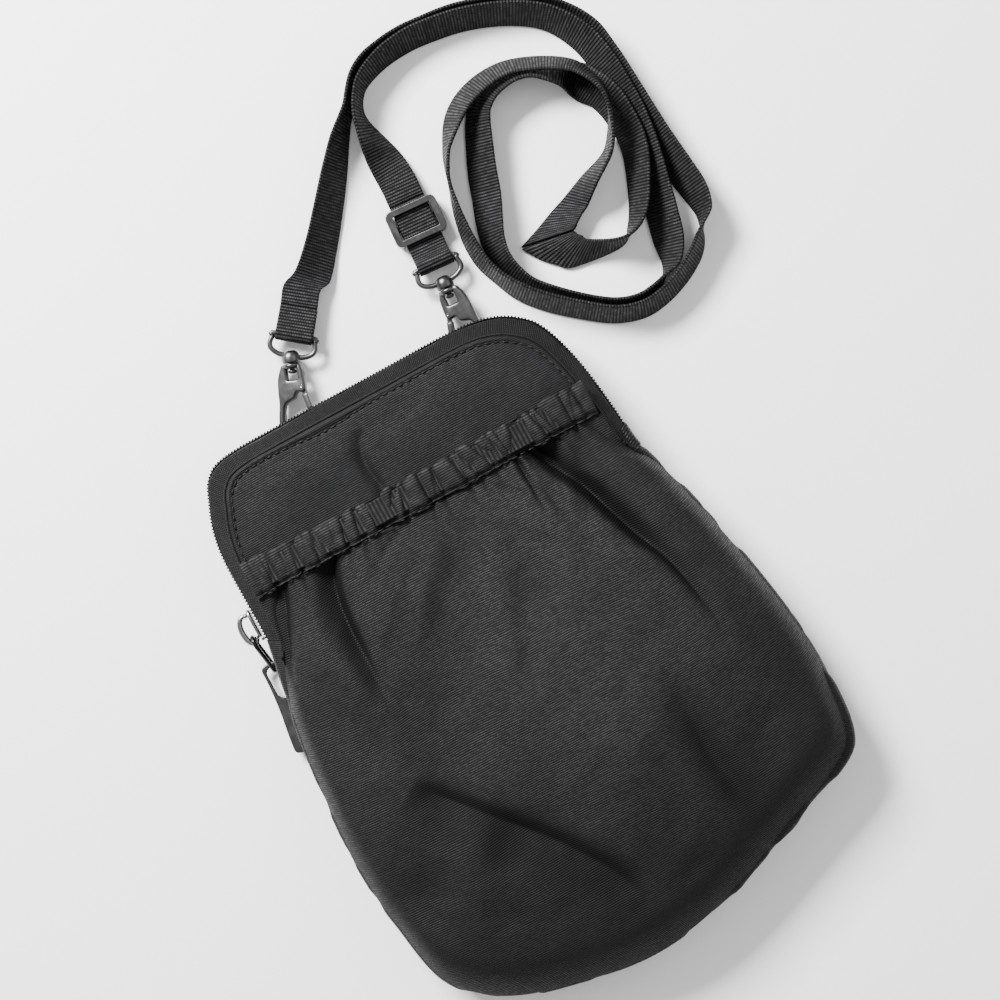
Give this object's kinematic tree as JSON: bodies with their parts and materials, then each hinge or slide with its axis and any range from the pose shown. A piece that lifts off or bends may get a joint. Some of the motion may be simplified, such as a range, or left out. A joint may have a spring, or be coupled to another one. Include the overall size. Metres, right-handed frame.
{
  "type": "crossbody pouch",
  "caption": "Small zipped crossbody pouch with a gathered front pocket, a hanging zip pull, and a webbing shoulder strap on swivel snap hooks and rings.",
  "frame": {"origin": "on the outside of the back panel, under the middle of the pouch, which lies on its back", "axes": "+Z out of the front of the pouch, +Y up the pouch to the zip along its top, +X to its right seen from the front"},
  "size_m": [0.2128, 0.3131, 0.0338],
  "materials": {
    "nylon": "ribbed twill nylon",
    "webbing": "ribbed woven webbing",
    "lining": "plain woven lining",
    "elastic": "woven elastic",
    "zip_coil": "moulded nylon coil",
    "gunmetal": "satin gunmetal plating",
    "silver": "satin nickel plating",
    "dark_metal": "dark plated wire"
  },
  "bodies": {
    "pouch": {"back_panel": "nylon", "front_panel": "nylon", "side_gusset": "nylon", "zip_gusset": "nylon", "zip_tape": "nylon", "zip_coil_rear": "zip_coil", "zip_coil_front": "zip_coil", "lining_back": "lining", "lining_front": "lining", "pocket_panel": "nylon", "pocket_casing": "nylon", "pocket_elastic": "elastic", "zip_end_tab": "webbing", "zip_stop": "silver", "webbing_tab_left": "webbing", "webbing_tab_right": "webbing", "strap_left": "webbing", "strap_right": "webbing"},
    "slider": {"zip_slider": "silver", "slider_bail": "silver"},
    "link": {"pull_link": "dark_metal"},
    "pull": {"pull_tab": "gunmetal"},
    "ring_left": {"d_ring_left": "gunmetal"},
    "hook_left": {"hook_body_left": "gunmetal", "gate_pin_left": "silver"},
    "gate_left": {"hook_gate_left": "gunmetal"},
    "eye_left": {"swivel_eye_left": "gunmetal", "strap_end_left": "webbing"},
    "ring_right": {"d_ring_right": "gunmetal"},
    "hook_right": {"hook_body_right": "gunmetal", "gate_pin_right": "silver"},
    "gate_right": {"hook_gate_right": "gunmetal"},
    "eye_right": {"swivel_eye_right": "gunmetal", "strap_loop_right": "webbing"},
    "glide": {"tri_glide": "gunmetal"}
  },
  "joints": [
    {"name": "zip_slide", "type": "slide", "parent": "pouch", "child": "slider", "axis": [0, 1, 0], "range_m": [0, 0.016]},
    {"name": "link_swing", "type": "hinge", "parent": "slider", "child": "link", "pos_m": [-0.07649, 0.0492, 0.01321], "axis": [0, 0, 1], "range_deg": [-60, 2]},
    {"name": "pull_swing", "type": "hinge", "parent": "link", "child": "pull", "pos_m": [-0.07649, 0.0356, 0.00261], "axis": [0, 0, 1], "range_deg": [-40, 3]},
    {"name": "ring_hinge_left", "type": "hinge", "parent": "pouch", "child": "ring_left", "pos_m": [-0.03025, 0.0933, 0.0046], "axis": [0.9455, 0, -0.3256], "range_deg": [-80, 2]},
    {"name": "hook_swing_left", "type": "hinge", "parent": "ring_left", "child": "hook_left", "pos_m": [-0.03025, 0.1033, 0.0046], "axis": [0.9455, 0, -0.3256], "range_deg": [-20, 12]},
    {"name": "eye_swivel_left", "type": "hinge", "parent": "hook_left", "child": "eye_left", "pos_m": [-0.021, 0.1262, 0.0046], "axis": [0.3746, 0.9272, 0], "continuous": true},
    {"name": "gate_hinge_left", "type": "hinge", "parent": "hook_left", "child": "gate_left", "pos_m": [-0.02209, 0.11542, 0.00564], "axis": [0.3019, -0.122, -0.9455], "range_deg": [0, 35], "stiffness_Nm_per_rad": 0.01, "springref_deg": -17.19},
    {"name": "ring_hinge_right", "type": "hinge", "parent": "pouch", "child": "ring_right", "pos_m": [0.03475, 0.08896, 0.0046], "axis": [0.9455, 0, -0.3256], "range_deg": [-80, 2]},
    {"name": "hook_swing_right", "type": "hinge", "parent": "ring_right", "child": "hook_right", "pos_m": [0.03475, 0.09896, 0.0046], "axis": [0.9455, 0, -0.3256], "range_deg": [-20, 14]},
    {"name": "eye_swivel_right", "type": "hinge", "parent": "hook_right", "child": "eye_right", "pos_m": [0.03643, 0.1236, 0.0046], "axis": [0.068, 0.9977, 0], "continuous": true},
    {"name": "gate_hinge_right", "type": "hinge", "parent": "hook_right", "child": "gate_right", "pos_m": [0.0327, 0.11343, 0.00356], "axis": [-0.3248, 0.0221, 0.9455], "range_deg": [0, 35], "stiffness_Nm_per_rad": 0.01, "springref_deg": -17.19},
    {"name": "glide_slide", "type": "slide", "parent": "eye_right", "child": "glide", "axis": [0.068, 0.9977, 0], "range_m": [-0.003, 0.005]}
  ]
}
